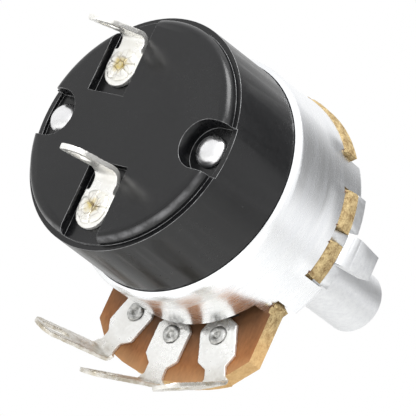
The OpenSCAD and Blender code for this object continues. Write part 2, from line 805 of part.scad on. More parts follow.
// Switch lug: a base strip with a round end in its channel, a neck and an upright with an oblong eye
module switch_lug(turn, inner_r) {
    difference() {
        union() {
            linear_extrude(lug_t) {
                translate([lug_shoulder, 0]) mirror([1, 0]) tongue(lug_shoulder + lug_tail, lug_w);
                translate([0, -lug_neck_w / 2]) square([lug_bend_at + bend_lap, lug_neck_w]);
            }
            translate([lug_bend_at, 0, 0]) {
                bend(lug_neck_w, lug_t, inner_r, turn);
                after_bend(lug_t, inner_r, turn) linear_extrude(lug_t) difference() {
                    tongue(lug_upright, lug_neck_w, bend_lap);
                    translate([lug_upright - 2, 0]) oblong(2.4, eye_w);
                }
            }
        }
        translate([0, 0, -cut]) cylinder(h = lug_t + 2 * cut, d = contact_rivet_d);
    }
}

module switch_lug_upper() {
    color("whitesmoke") stand() on_back(upper_at) switch_lug(upper_turn, upper_bend_r);
}

module switch_lug_lower() {
    color("whitesmoke") stand() on_back(lower_at) switch_lug(lower_turn, lower_bend_r);
}

// Rivet through a lug and the housing's floor, whose inner head is the fixed contact
module contact_rivets() {
    outer_seat = channel_floor - lug_t;
    seats = [[upper_at, floor_front], [lower_at, floor_front + spring_t]];
    color("khaki") stand() for (seat = seats) translate([seat[0][0], seat[0][1], 0]) rotate_extrude()
        polygon([[0, outer_seat], [0, seat[1] + contact_head_t], [contact_head_d / 2, seat[1] + contact_head_t],
            [contact_head_d / 2, seat[1]], [contact_rivet_d / 2, seat[1]], [contact_rivet_d / 2, outer_seat],
            [contact_head_d / 2, outer_seat], [contact_head_d / 2 - 0.3, outer_seat - contact_head_t],
            [0.5, outer_seat - contact_head_t], [0.3, outer_seat]]);
}

module housing_rivets() {
    shank_r = housing_rivet_d / 2;
    dome_r = (pow(dome_d / 2, 2) + dome_h * dome_h) / (2 * dome_h);
    color("white") stand() for (side = [-1, 1]) translate([side * housing_rivet_x, 0, 0]) {
        bar(recess_floor - 0.2, base_front, shank_r);
        bar(base_front, base_front + fork_proud, shank_r + 0.5);
        intersection() {
            translate([0, 0, recess_floor + dome_r - dome_h]) sphere(r = dome_r);
            bar(recess_floor - dome_h - cut, recess_floor, dome_d / 2);
        }
    }
}

mounting_plate();
bushing();
shaft();
retaining_ring();
wafer();
resistive_track();
collector_ring();
terminal_left();
terminal_wiper();
terminal_right();
terminal_rivets();
rotor();
wiper_spring();
can();
switch_base();
switch_housing();
toggle_pin();
switch_toggle();
moving_contact();
contact_spring();
detent_spring();
common_strip();
switch_lug_upper();
switch_lug_lower();
contact_rivets();
housing_rivets();
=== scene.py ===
import math

import bmesh
import bpy
from mathutils import Matrix, Vector, geometry, noise


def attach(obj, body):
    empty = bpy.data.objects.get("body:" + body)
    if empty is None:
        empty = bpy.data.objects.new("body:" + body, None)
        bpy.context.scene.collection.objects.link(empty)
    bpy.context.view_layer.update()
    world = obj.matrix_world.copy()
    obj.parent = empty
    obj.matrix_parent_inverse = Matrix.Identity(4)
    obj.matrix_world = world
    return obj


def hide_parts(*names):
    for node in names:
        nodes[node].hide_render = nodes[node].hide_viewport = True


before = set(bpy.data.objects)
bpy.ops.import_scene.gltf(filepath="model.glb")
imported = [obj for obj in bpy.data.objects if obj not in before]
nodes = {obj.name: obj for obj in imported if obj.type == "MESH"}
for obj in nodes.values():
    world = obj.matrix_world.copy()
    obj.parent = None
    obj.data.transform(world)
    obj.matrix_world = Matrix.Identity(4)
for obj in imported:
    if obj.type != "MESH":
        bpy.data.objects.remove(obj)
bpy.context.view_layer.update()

scene = bpy.context.scene
scene.view_settings.view_transform = "Standard"

# Camera: a long lens behind and a little below the part, which stands upright in the frame.
# The part leans in the picture because the camera is rolled.
right = Vector((-0.723, -0.558, 0.407))
forward = Vector((0.668, -0.715, 0.207)).normalized()
up = right.cross(forward).normalized()
right = forward.cross(up)
place = Vector((-0.1480, 0.1648, -0.0472))
camera = bpy.data.objects.new("camera", bpy.data.cameras.new("camera"))
camera.data.lens = 213.4
camera.data.sensor_width = 36
camera.data.clip_start = 0.01
camera.matrix_world = Matrix.Translation(place) @ Matrix((right, up, -forward)).transposed().to_4x4()
scene.collection.objects.link(camera)
scene.camera = camera

# Light: a pale tent all round, dimmer in one soft patch that gives polished metal a grey band. The
# camera itself sees it pure white. A large soft lamp stands high behind the part, and a small one
# beside the camera picks out rounded edges.


def feed(tree, node, inputs):
    """Gives a node's inputs their values. Another node's output is linked."""
    for label, value in inputs.items():
        if isinstance(value, bpy.types.NodeSocket):
            tree.links.new(value, node.inputs[label])
        else:
            node.inputs[label].default_value = value


def add_node(tree, kind, inputs, **settings):
    """Adds a node to a tree, with its settings and its inputs."""
    made = tree.nodes.new(kind)
    for label, value in settings.items():
        setattr(made, label, value)
    feed(tree, made, inputs)
    return made


world = bpy.data.worlds.new("tent")
scene.world = world
world.use_nodes = True
tent = world.node_tree
dim_side = Vector((-0.35, -0.72, 0.61)).normalized()
direction = add_node(tent, "ShaderNodeTexCoord", {}).outputs["Generated"]
patch = add_node(tent, "ShaderNodeVectorMath", {0: direction, 1: dim_side}, operation="DOT_PRODUCT")
shade = add_node(tent, "ShaderNodeMapRange", {
    "Value": patch.outputs["Value"], "From Min": 0.82, "From Max": 1.0, "To Min": 0.97, "To Max": 0.26,
}, interpolation_type="SMOOTHSTEP")
seen = add_node(tent, "ShaderNodeLightPath", {}).outputs["Is Camera Ray"]
level = add_node(tent, "ShaderNodeMix", {"Factor": seen, "A": shade.outputs["Result"], "B": 1.0},
                 data_type="FLOAT")
feed(tent, tent.nodes["Background"], {"Color": (1, 1, 1, 1), "Strength": level.outputs["Result"]})

for name, spot, size, power in (
        ("lamp_above", (-0.10, 0.10, 0.22), 0.16, 0.6),
        ("lamp_beside", (-0.13, 0.17, 0.04), 0.05, 0.1)):
    lamp = bpy.data.objects.new(name, bpy.data.lights.new(name, "AREA"))
    lamp.data.size = size
    lamp.data.energy = power
    lamp.location = spot
    lamp.rotation_euler = (-lamp.location).to_track_quat("-Z", "Y").to_euler()
    scene.collection.objects.link(lamp)

# Floor: a plain pale sheet. The camera stands below the part and looks up a little, so the sheet lies
# lower still.
FLOOR_LEVEL = -0.075
corners = [(x, y, FLOOR_LEVEL) for x, y in ((-1, -1), (1, -1), (1, 1), (-1, 1))]
floor_mesh = bpy.data.meshes.new("floor")
floor_mesh.from_pydata(corners, [], [(0, 1, 2, 3)])
floor = bpy.data.objects.new("floor", floor_mesh)
scene.collection.objects.link(floor)
floor_paint = bpy.data.materials.new("floor_paint")
floor_paint.use_nodes = True
feed(floor_paint.node_tree, floor_paint.node_tree.nodes["Principled BSDF"],
     {"Base Color": (0.85, 0.85, 0.84, 1), "Roughness": 0.7})
floor_mesh.materials.append(floor_paint)

# Bushing: a turned zinc-alloy collar with a fine thread for the panel's nut, a shoulder that meets the
# panel and a spigot that is staked through the plate and the wafer. The thread is cut here as a real
# helix, as far out as the CAD collar reaches.
MM = 0.001
SHOULDER_BACK = 0.6 * MM
WAFER_BACK = 3.5 * MM


def add_sockets(group, way, kinds):
    """Gives a node group its sockets, and returns the identifier of each."""
    identifiers = {}
    for label, kind in kinds.items():
        socket = group.interface.new_socket(label, in_out=way, socket_type="NodeSocket" + kind)
        identifiers[label] = socket.identifier
    return identifiers


def ramp(tree, value, start, end, first=0.0, last=1.0):
    """Turns a value between start and end into one between first and last, and holds it there."""
    return add_node(tree, "ShaderNodeMapRange", {
        "Value": value, "From Min": start, "From Max": end, "To Min": first, "To Max": last,
    }).outputs["Result"]


def patina_group():
    """Noise of two sizes that varies a finish's colour, roughness and height."""
    group = bpy.data.node_groups.new("patina", "ShaderNodeTree")
    add_sockets(group, "INPUT", {"Vector": "Vector", "Broad": "Float", "Fine": "Float", "Light": "Color",
                                 "Dark": "Color", "Smooth": "Float", "Rough": "Float"})
    add_sockets(group, "OUTPUT", {"Color": "Color", "Roughness": "Float", "Height": "Float"})
    given = add_node(group, "NodeGroupInput", {}).outputs
    broad, fine = [add_node(group, "ShaderNodeTexNoise", {
        "Vector": given["Vector"], "Scale": given[label], "Detail": 4,
    }).outputs["Fac"] for label in ("Broad", "Fine")]
    both = add_node(group, "ShaderNodeMix", {"Factor": 0.4, "A": broad, "B": fine}, data_type="FLOAT")
    height = both.outputs["Result"]
    spread = ramp(group, height, 0.35, 0.65)
    tone = add_node(group, "ShaderNodeMix", {"Factor": spread, "A": given["Light"], "B": given["Dark"]},
                    data_type="RGBA")
    gloss = ramp(group, spread, 0.0, 1.0, given["Smooth"], given["Rough"])
    add_node(group, "NodeGroupOutput", {"Color": tone.outputs["Result"], "Roughness": gloss,
                                        "Height": height})
    return group


patina = patina_group()


def finish(name, light, dark, metallic=0.0, smooth=0.3, rough=0.5, broad=300, fine=2500, bump=0.2,
           depth=0.02 * MM, stretch=(1, 1, 1), shine=0.5):
    """A material whose colour, gloss and fine relief vary as the real surface's do."""
    material = bpy.data.materials.new(name)
    material.use_nodes = True
    tree = material.node_tree
    where = add_node(tree, "ShaderNodeTexCoord", {}, name="where").outputs["Object"]
    scaled = add_node(tree, "ShaderNodeMapping", {"Vector": where, "Scale": stretch})
    effect = add_node(tree, "ShaderNodeGroup", {
        "Vector": scaled.outputs["Vector"], "Broad": broad, "Fine": fine, "Smooth": smooth,
        "Rough": rough, "Light": (*light, 1), "Dark": (*dark, 1),
    }, node_tree=patina).outputs
    relief = add_node(tree, "ShaderNodeBump", {"Strength": bump, "Distance": depth,
                                               "Height": effect["Height"]})
    feed(tree, tree.nodes["Principled BSDF"], {
        "Metallic": metallic, "Specular IOR Level": shine, "Base Color": effect["Color"],
        "Roughness": effect["Roughness"], "Normal": relief.outputs["Normal"]})
    return material


def piece(name, skin, materials, body, slot, *stands_for):
    """Makes a finished piece from a bmesh skin, lets it ride on its body and hides what it stands for.

    Faces square to the axis are shaded flat, so that no rounded edge bends their light.
    """
    square_on = 0.9999
    bmesh.ops.recalc_face_normals(skin, faces=skin.faces)
    mesh = bpy.data.meshes.new(name)
    skin.to_mesh(mesh)
    skin.free()
    for material in materials:
        mesh.materials.append(material)
    mesh.shade_smooth()
    mesh.set_sharp_from_angle(angle=math.radians(40))
    for face in mesh.polygons:
        if abs(face.normal.y) > square_on:
            face.use_smooth = False
    made = bpy.data.objects.new(name, mesh)
    scene.collection.objects.link(made)
    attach(made, body)
    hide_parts(*stands_for)


def held(share):
    """A share kept between 0 and 1."""
    return min(max(share, 0), 1)


def circle(r, y, columns, centre=(0.0, 0.0)):
    """The points of a circle square to the axis, about a centre (x, z)."""
    turns = [math.tau * n / columns for n in range(columns)]
    return [(centre[0] + r * math.cos(turn), y, centre[1] + r * math.sin(turn)) for turn in turns]


def join_loops(skin, low, high):
    """Joins two closed loops of vertices by a band of faces, which it returns."""
    count = len(low)
    return [skin.faces.new((low[n], low[(n + 1) % count], high[(n + 1) % count], high[n]))
            for n in range(count)]


def threaded_collar():
    """The bushing's skin, with the helix cut along its barrel."""
    bore, stake, shoulder, edge = 3.45 * MM, 5 * MM, 6.5 * MM, 0.12 * MM
    length, chamfer = 8 * MM, 0.5 * MM
    crest, pitch, depth = 4.765 * MM, 0.79375 * MM, 0.46 * MM
    undercut, undercut_end = 4.35 * MM, 0.5 * MM
    crest_share, flank_share = 0.12, 0.76
    columns, step = 96, 0.04 * MM
    back = WAFER_BACK - 0.2 * MM
    plain = [(bore, back - edge), (bore + edge, back), (stake - edge, back), (stake, back - edge),
             (stake, SHOULDER_BACK), (shoulder - edge, SHOULDER_BACK), (shoulder, SHOULDER_BACK - edge),
             (shoulder, edge), (shoulder - edge, 0), (undercut, 0)]
    rings = [circle(r, y, columns) for r, y in plain]
    for row in range(1, round(length / step) + 1):
        y = -row * step
        ring = []
        for n in range(columns):
            turn = n / columns
            ridge = abs(2 * ((y / pitch + turn) % 1) - 1)
            r = crest - depth * held((ridge - crest_share) / flank_share)
            r = min(r, undercut + max(0, -y - undercut_end), crest - max(0, -y - length + chamfer))
            ring.append((r * math.cos(math.tau * turn), y, r * math.sin(math.tau * turn)))
        rings.append(ring)
    rings += [circle(r, y, columns) for r, y in ((bore + edge, -length), (bore, -length + edge))]
    skin = bmesh.new()
    loops = [[skin.verts.new(point) for point in ring] for ring in rings]
    for low, high in zip(loops, loops[1:] + loops[:1]):
        join_loops(skin, low, high)
    return skin


cast = finish("turned_zinc", (0.72, 0.72, 0.72), (0.5, 0.5, 0.5), metallic=1, smooth=0.3, rough=0.5,
              broad=500, fine=4000, bump=0.25, stretch=(1, 6, 1))
piece("threaded_bushing", threaded_collar(), [cast], "frame", "cast_zinc", "bushing")

# Mounting plate: a band of zinc-plated steel punched with its locating lug, which is bent forward into
# the panel's hole, and a key tab in the wafer's notch, whose rear end slopes inward. Punching leaves
# its edges a little round.
KEY_SIDE = -11.2 * MM
KEY_SLOPE_FROM = 3.2 * MM
PLATE_EDGE = 0.1 * MM
SHARP = math.radians(32)


def clean_skin(node):
    """A CAD node's skin with its seams closed and its flat faces whole."""
    skin = bmesh.new()
    skin.from_mesh(nodes[node].data)
    bmesh.ops.remove_doubles(skin, verts=skin.verts, dist=0.002 * MM)
    bmesh.ops.dissolve_limit(skin, angle_limit=math.radians(1.5), verts=skin.verts, edges=skin.edges)
    return skin


def sharp_edges(skin):
    """The edges of a skin that a tool or a mould leaves a little round."""
    return [edge for edge in skin.edges if edge.is_manifold and edge.calc_face_angle() > SHARP]


def bevel(skin, edges, width, segments, edge_material):
    """Rounds some edges of a skin."""
    bmesh.ops.bevel(skin, geom=edges, offset=width, offset_type="OFFSET", segments=segments, profile=0.5,
                    affect="EDGES", clamp_overlap=True, material=edge_material)


def soften(skin, width, segments=2, edge_material=0):
    """Rounds every sharp edge of a skin, as punching, moulding and tumbling do."""
    bevel(skin, sharp_edges(skin), width, segments, edge_material)
    bmesh.ops.remove_doubles(skin, verts=skin.verts, dist=0.001 * MM)
    return skin


plate_metal = finish("tumbled_zinc_plate", (0.82, 0.83, 0.84), (0.68, 0.69, 0.71), metallic=1,
                     smooth=0.32, rough=0.52, broad=1800, fine=8000, bump=0.45)
punched = soften(clean_skin("mounting_plate"), PLATE_EDGE)
for vert in punched.verts:
    if vert.co.x < KEY_SIDE and vert.co.y > KEY_SLOPE_FROM:
        vert.co.x = KEY_SIDE
piece("punched_plate", punched, [plate_metal], "frame", "plated_steel", "mounting_plate")

# Wafer: brown paper laminate punched to its outline, with a tail for the terminals. Its faces are
# smooth and show the paper's fibre; its sheared edges are torn, pale and layered.
WAFER_FRONT = 1.8 * MM
TAIL_TOP = -8.5 * MM
# Reach over which painted shade darkens the laminate towards the can.
CAN_SHADE_BAND = (12.2 * MM, 15.5 * MM)
PALE_BAND = (15.4 * MM, 17.2 * MM)
PALE_SHEAR_BAND = (12.9 * MM, 15 * MM)


def wafer_loops():
    """The wafer's outline and holes, read from the flat back face of the CAD node, as lists of (x, z)."""
    skin = clean_skin("wafer")
    skin.normal_update()
    flat = {face for face in skin.faces if face.normal.y > 0.9}
    rim = [edge for edge in skin.edges if len([face for face in edge.link_faces if face in flat]) == 1]
    following = {}
    for edge in rim:
        here, there = edge.verts
        following.setdefault(here, []).append(there)
        following.setdefault(there, []).append(here)
    loops = []
    while following:
        start = next(iter(following))
        loop, last, now = [start], None, start
        while True:
            ahead = [vert for vert in following[now] if vert is not last]
            last, now = now, ahead[0]
            if now is start:
                break
            loop.append(now)
        for vert in loop:
            del following[vert]
        loops.append([Vector((vert.co.x, vert.co.z)) for vert in loop])
    skin.free()
    loops.sort(key=lambda loop: -sum((a - b).length for a, b in zip(loop, loop[1:])))
    return loops


def even_steps(loop, step):
    """The same closed outline with points at even steps along each of its sides."""
    points = []
    for a, b in zip(loop, loop[1:] + loop[:1]):
        count = max(1, round((b - a).length / step))
        points += [a.lerp(b, n / count) for n in range(count)]
    return points


def layer_depth(point, y, layer, layers):
    """How far the outline is torn back at one layer; above the tail the rear layers step inward."""
    tear, round_in, face_share = 0.13 * MM, 0.05 * MM, 0.6
    broad, fine, squeeze = 1100, 3500, 1.2
    rear_layers, rear_step = 3, 0.12 * MM
    spot = Vector((point.x, y * squeeze, point.y))
    rough = noise.noise(spot * broad) * 0.5 + noise.noise(spot * fine) * 0.5 + 0.5
    depth = tear * held(rough)
    if layer in (0, layers - 1):
        depth = max(depth * face_share, round_in)
    steps_in = layer - layers + 1 + rear_layers
    if point.y > TAIL_TOP and steps_in > 0:
        depth = max(depth, rear_step * steps_in + tear * (rough - 0.5))
    return depth


def torn_wafer():
    """The wafer's skin: smooth faces, and walls whose paper layers are torn back by different amounts."""
    layers, step, hole_edge = 9, 0.14 * MM, 0.05 * MM
    skin = bmesh.new()
    flat_loops = []
    for number, loop in enumerate(wafer_loops()):
        points = even_steps(loop, step)
        area = sum(a.cross(b) for a, b in zip(points, points[1:] + points[:1]))
        inward = 1 if (area > 0) == (number == 0) else -1
        rings = []
        for layer in range(layers):
            y = WAFER_FRONT + (WAFER_BACK - WAFER_FRONT) * layer / (layers - 1)
            ring = []
            for n, point in enumerate(points):
                along = (points[(n + 1) % len(points)] - points[n - 1]).normalized()
                normal = Vector((-along.y, along.x)) * inward
                if number == 0:
                    depth = layer_depth(point, y, layer, layers)
                else:
                    depth = hole_edge if layer in (0, layers - 1) else 0.0
                moved = point + normal * depth
                ring.append(skin.verts.new((moved.x, y, moved.y)))
            rings.append(ring)
        for low, high in zip(rings, rings[1:]):
            for wall in join_loops(skin, low, high):
                wall.material_index = 1
        flat_loops.append((rings[0], rings[-1]))
    for side in (0, 1):
        rims = [pair[side] for pair in flat_loops]
        verts = [vert for rim in rims for vert in rim]
        outlines = [[Vector((vert.co.x, vert.co.z, 0)) for vert in rim] for rim in rims]
        for triangle in geometry.tessellate_polygon(outlines):
            skin.faces.new([verts[n] for n in triangle])
    return skin


def reach_from_axis(tree):
    """How far each point of a material lies from the part's axis."""
    where = tree.nodes["where"].outputs["Object"]
    flat = add_node(tree, "ShaderNodeVectorMath", {0: where, 1: (1, 0, 1)}, operation="MULTIPLY")
    reach = add_node(tree, "ShaderNodeVectorMath", {0: flat.outputs["Vector"]}, operation="LENGTH")
    return reach.outputs["Value"]


def tint(tree, share, colour):
    """Lays a colour over a material, as strongly as a share says."""
    surface = tree.nodes["Principled BSDF"]
    before = surface.inputs["Base Color"].links[0].from_socket
    tone = add_node(tree, "ShaderNodeMix", {"Factor": share, "A": before, "B": (*colour, 1)},
                    data_type="RGBA")
    feed(tree, surface, {"Base Color": tone.outputs["Result"]})


def tone_by_reach(tree, *bands):
    """Lays colours over a material by the reach from the axis.

    Each band is (start, end, share at start, share at end, colour).
    """
    reach = reach_from_axis(tree)
    for start, end, first, last, colour in bands:
        tint(tree, ramp(tree, reach, start, end, first, last), colour)


painted_can_shade = (0.065, 0.038, 0.024)
pale_tail = (0.60, 0.35, 0.17)
pale_shear = (0.72, 0.44, 0.19)
laminate = finish("paper_laminate", (0.38, 0.155, 0.053), (0.21, 0.08, 0.026), smooth=0.38, rough=0.6,
                  broad=700, fine=5000, bump=0.5, stretch=(1, 1, 0.35), shine=0.22)
# The first band is painted shade: the laminate darkens towards the can, in place of its shadow.
tone_by_reach(laminate.node_tree, (*CAN_SHADE_BAND, 0.75, 0.0, painted_can_shade), (*PALE_BAND, 0.0, 0.6, pale_tail))
sheared = finish("sheared_laminate", (0.54, 0.42, 0.22), (0.19, 0.12, 0.05), smooth=0.7, rough=0.95,
                 broad=1500, fine=6000, bump=0.9, depth=0.08 * MM, shine=0.2)
tone_by_reach(sheared.node_tree, (*PALE_SHEAR_BAND, 0.0, 0.55, pale_shear))
piece("torn_edge_wafer", torn_wafer(), [laminate, sheared], "frame", "phenolic", "wafer")

# Track and collector: carbon ink printed on the wafer's back face, and a stamped ring of plated brass
# whose stem reaches the middle terminal. The can hides both.


def dress(node, material):
    """Gives a CAD node that stays as it is its finish."""
    for slot in nodes[node].material_slots:
        slot.material = material


carbon = finish("printed_carbon", (0.02, 0.02, 0.02), (0.035, 0.035, 0.035), smooth=0.5, rough=0.7)
dress("resistive_track", carbon)
silvered = finish("silvered_brass", (0.85, 0.84, 0.80), (0.66, 0.65, 0.60), metallic=1, smooth=0.2,
                  rough=0.4)
dress("collector_ring", silvered)

# Terminals: three stamped brass plates, hot-tinned after bending, so their edges are soft, the tin lies
# on them in lumps and flux has stained it. Each is a plate on the wafer, a neck over its edge and a lug
# with an oblong eye.
FLUX_BAND = (15.6 * MM, 22.4 * MM)


def maths(tree, operation, a, b=0.0):
    """One sum in a node tree, of plain values or other nodes' outputs."""
    return add_node(tree, "ShaderNodeMath", {0: a, 1: b}, operation=operation).outputs["Value"]


def tinned_skin(node, grid, lump):
    """A CAD node's skin under a coat of tin: remade as an even grid, softened and made uneven.

    The work is done in millimetres, grid and lump too, because the grid's size can't be very small.
    """
    thin, broad_share, fine_share = 0.012, 0.6, 0.5
    draft = clean_skin(node)
    bmesh.ops.triangulate(draft, faces=draft.faces)
    bmesh.ops.scale(draft, vec=(1 / MM, 1 / MM, 1 / MM), verts=draft.verts)
    mesh = bpy.data.meshes.new("draft")
    draft.to_mesh(mesh)
    draft.free()
    block = bpy.data.objects.new("draft", mesh)
    scene.collection.objects.link(block)
    remade = block.modifiers.new("even", "REMESH")
    remade.mode = "VOXEL"
    remade.voxel_size = grid
    eased = block.modifiers.new("ease", "SMOOTH")
    eased.factor = 0.5
    eased.iterations = 7
    bpy.context.view_layer.update()
    done = bpy.data.meshes.new_from_object(block.evaluated_get(bpy.context.evaluated_depsgraph_get()))
    skin = bmesh.new()
    skin.from_mesh(done)
    bpy.data.objects.remove(block)
    skin.normal_update()
    for vert in skin.verts:
        broad = noise.noise(vert.co * 0.9 + Vector((7, 3, 1)))
        fine = noise.noise(vert.co * 3.1)
        vert.co += vert.normal * (lump * (broad_share * broad + fine_share * fine) - thin)
    bmesh.ops.scale(skin, vec=(MM, MM, MM), verts=skin.verts)
    return skin


def stain_by_reach(tree, near, far, colour, strength):
    """Leaves flux on the tin in a blotchy band at a reach from the axis."""
    away = maths(tree, "ABSOLUTE", maths(tree, "SUBTRACT", reach_from_axis(tree), (near + far) / 2))
    band = ramp(tree, away, 0.0, (far - near) / 2, strength, 0.0)
    where = tree.nodes["where"].outputs["Object"]
    blot = add_node(tree, "ShaderNodeTexNoise", {"Vector": where, "Scale": 1500})
    tint(tree, maths(tree, "MULTIPLY", band, blot.outputs["Fac"]), colour)


dull_flux = (0.46, 0.41, 0.32)
tin = finish("hot_tin", (0.99, 0.99, 0.975), (0.88, 0.875, 0.85), metallic=0.7, smooth=0.2, rough=0.4,
             broad=380, fine=2600, bump=0.3, depth=0.03 * MM)
stain_by_reach(tin.node_tree, *FLUX_BAND, dull_flux, 1.7)
for side in ("left", "wiper", "right"):
    node = "terminal_" + side
    coated = tinned_skin(node, grid=0.06, lump=0.045)
    piece("tinned_" + node, coated, [tin], "frame", "tinned_brass", node)

# Terminal rivets: hollow brass eyelets with a flat head in front of the wafer. Their rear ends are
# rolled over on the terminals' plates by a punch, unevenly, and have gone grey.
TERMINAL_BACK = WAFER_BACK + 0.4 * MM
EYELET_ORBIT = 12.85 * MM
EYELET_STEP = math.radians(23.5)


def lathe(name, profile, columns):
    """A closed round body about the axis, from a profile of (radius, y) that starts and ends on it."""
    skin = bmesh.new()
    rings = [[skin.verts.new(point) for point in circle(r, y, columns)] for r, y in profile[1:-1]]
    poles = [skin.verts.new((0, profile[end][1], 0)) for end in (0, -1)]
    for low, high in zip(rings, rings[1:]):
        join_loops(skin, low, high)
    for pole, ring in zip(poles, (rings[0], rings[-1])):
        for n in range(columns):
            skin.faces.new((pole, ring[n], ring[(n + 1) % columns]))
    bmesh.ops.recalc_face_normals(skin, faces=skin.faces)
    mesh = bpy.data.meshes.new(name)
    skin.to_mesh(mesh)
    skin.free()
    made = bpy.data.objects.new(name, mesh)
    scene.collection.objects.link(made)
    return made


def arc_row():
    """A tree that repeats a rivet along an arc about the axis, batters it and gives it its metal."""
    twist, mean_noise = 2.1, 0.62
    tree = bpy.data.node_groups.new("rivet_row", "GeometryNodeTree")
    sockets = add_sockets(tree, "INPUT", {
        "Geometry": "Geometry", "Count": "Int", "Orbit": "Float", "Pitch": "Float", "First": "Float",
        "Dent": "Float", "Dent Size": "Float", "Metal": "Material"})
    add_sockets(tree, "OUTPUT", {"Geometry": "Geometry"})
    given = add_node(tree, "NodeGroupInput", {}).outputs
    index = add_node(tree, "GeometryNodeInputIndex", {}).outputs["Index"]
    angle = maths(tree, "ADD", maths(tree, "MULTIPLY", index, given["Pitch"]), given["First"])
    spot = add_node(tree, "ShaderNodeCombineXYZ", {
        "X": maths(tree, "MULTIPLY", given["Orbit"], maths(tree, "COSINE", angle)),
        "Z": maths(tree, "MULTIPLY", given["Orbit"], maths(tree, "SINE", angle))})
    points = add_node(tree, "GeometryNodePoints", {"Count": given["Count"],
                                                   "Position": spot.outputs["Vector"]})
    turned = add_node(tree, "ShaderNodeCombineXYZ", {"Y": maths(tree, "MULTIPLY", index, twist)})
    row = add_node(tree, "GeometryNodeInstanceOnPoints", {
        "Points": points.outputs["Points"], "Instance": given["Geometry"],
        "Rotation": turned.outputs["Vector"]})
    solid = add_node(tree, "GeometryNodeRealizeInstances", {"Geometry": row.outputs["Instances"]})
    here = add_node(tree, "GeometryNodeInputPosition", {}).outputs["Position"]
    facing = add_node(tree, "GeometryNodeInputNormal", {}).outputs["Normal"]
    cloud = add_node(tree, "ShaderNodeTexNoise", {"Vector": here, "Scale": given["Dent Size"]})
    depth = maths(tree, "MULTIPLY", maths(tree, "SUBTRACT", cloud.outputs["Fac"], mean_noise),
                  given["Dent"])
    push = add_node(tree, "ShaderNodeVectorMath", {0: facing, "Scale": depth}, operation="SCALE")
    battered = add_node(tree, "GeometryNodeSetPosition", {"Geometry": solid.outputs["Geometry"],
                                                          "Offset": push.outputs["Vector"]})
    metal = add_node(tree, "GeometryNodeSetMaterial", {"Geometry": battered.outputs["Geometry"],
                                                       "Material": given["Metal"]})
    add_node(tree, "NodeGroupOutput", {"Geometry": metal.outputs["Geometry"]})
    return tree, sockets


rivet_row, row_sockets = arc_row()


def set_rivets(name, one, slot, node, **sizes):
    """Repeats one rivet along an arc and keeps the result as a plain mesh on the frame."""
    row = one.modifiers.new("row", "NODES")
    row.node_group = rivet_row
    for label, value in sizes.items():
        row[row_sockets[label.replace("_", " ")]] = value
    bpy.context.view_layer.update()
    mesh = bpy.data.meshes.new_from_object(one.evaluated_get(bpy.context.evaluated_depsgraph_get()))
    bpy.data.objects.remove(one)
    mesh.name = name
    mesh.shade_smooth()
    mesh.set_sharp_from_angle(angle=math.radians(50))
    made = bpy.data.objects.new(name, mesh)
    scene.collection.objects.link(made)
    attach(made, "frame")
    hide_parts(node)


def rolled_profile():
    """Half section of an eyelet: flat front head, shank, and a rear end rolled over and hollow."""
    shank, head, flat, corner, seat_corner = 0.85 * MM, 1.06 * MM, 0.32 * MM, 0.06 * MM, 0.04 * MM
    rolled, hollow, roll_start, roll_rise, roll_steps = 0.93 * MM, 0.3 * MM, 0.045 * MM, 0.225 * MM, 8
    front, top = WAFER_FRONT, TERMINAL_BACK
    profile = [(0, front - flat), (head - corner, front - flat), (head, front - flat + corner),
               (head, front - seat_corner), (head - seat_corner, front), (shank, front), (shank, top)]
    width = (rolled - hollow) / 2
    for n in range(roll_steps + 1):
        turn = math.pi * n / roll_steps
        profile.append((hollow + width + width * math.cos(turn),
                        top + roll_start + roll_rise * math.sin(turn)))
    return profile + [(hollow - 0.06 * MM, top - 0.1 * MM), (0, top - 0.14 * MM)]


worn = finish("greyed_brass", (0.80, 0.80, 0.78), (0.33, 0.33, 0.32), metallic=1, smooth=0.3, rough=0.6,
              broad=1500, fine=5000, bump=0.6, depth=0.04 * MM)
set_rivets("rolled_eyelets", lathe("eyelet", rolled_profile(), 40), "rivet_metal", "terminal_rivets",
           Count=3, Orbit=EYELET_ORBIT, Pitch=EYELET_STEP, First=-math.pi / 2 - EYELET_STEP,
           Dent=0.3 * MM, Dent_Size=900, Metal=worn)

# Shaft: a turned alloy rod that carries the knob in front and the rotor behind, where it has a flat.
# A spring clip in its groove keeps it in the bushing.
SHAFT_EDGE = 0.12 * MM
turned = finish("turned_alloy", (0.86, 0.87, 0.88), (0.75, 0.76, 0.78), metallic=1, smooth=0.3,
                rough=0.46, broad=2200, fine=9000, bump=0.4)
rod = soften(clean_skin("shaft"), SHAFT_EDGE, 3)
piece("turned_shaft", rod, [turned], "shaft", "shaft_alloy", "shaft")
dark_spring = finish("blued_spring", (0.25, 0.25, 0.27), (0.12, 0.12, 0.13), metallic=1)
dress("retaining_ring", dark_spring)

# Rotor and wiper: a moulded disc on the shaft with a driving dog behind, and a bronze spring in front
# whose two fingers slide on the track and on the collector. The can hides them.
cream = finish("cream_moulding", (0.62, 0.55, 0.38), (0.5, 0.44, 0.3), smooth=0.4, rough=0.6)
dress("rotor", cream)
bronze = finish("bronze_strip", (0.75, 0.5, 0.25), (0.5, 0.32, 0.16), metallic=1, smooth=0.3, rough=0.5)
dress("wiper_spring", bronze)

# Can: drawn from bright steel, which leaves fine rings round its wall, and open behind for the switch.
# Four tabs of its rim fold over the plate, and between them the rim is pressed out a little. Its back
# corner is rolled and polished by the die.


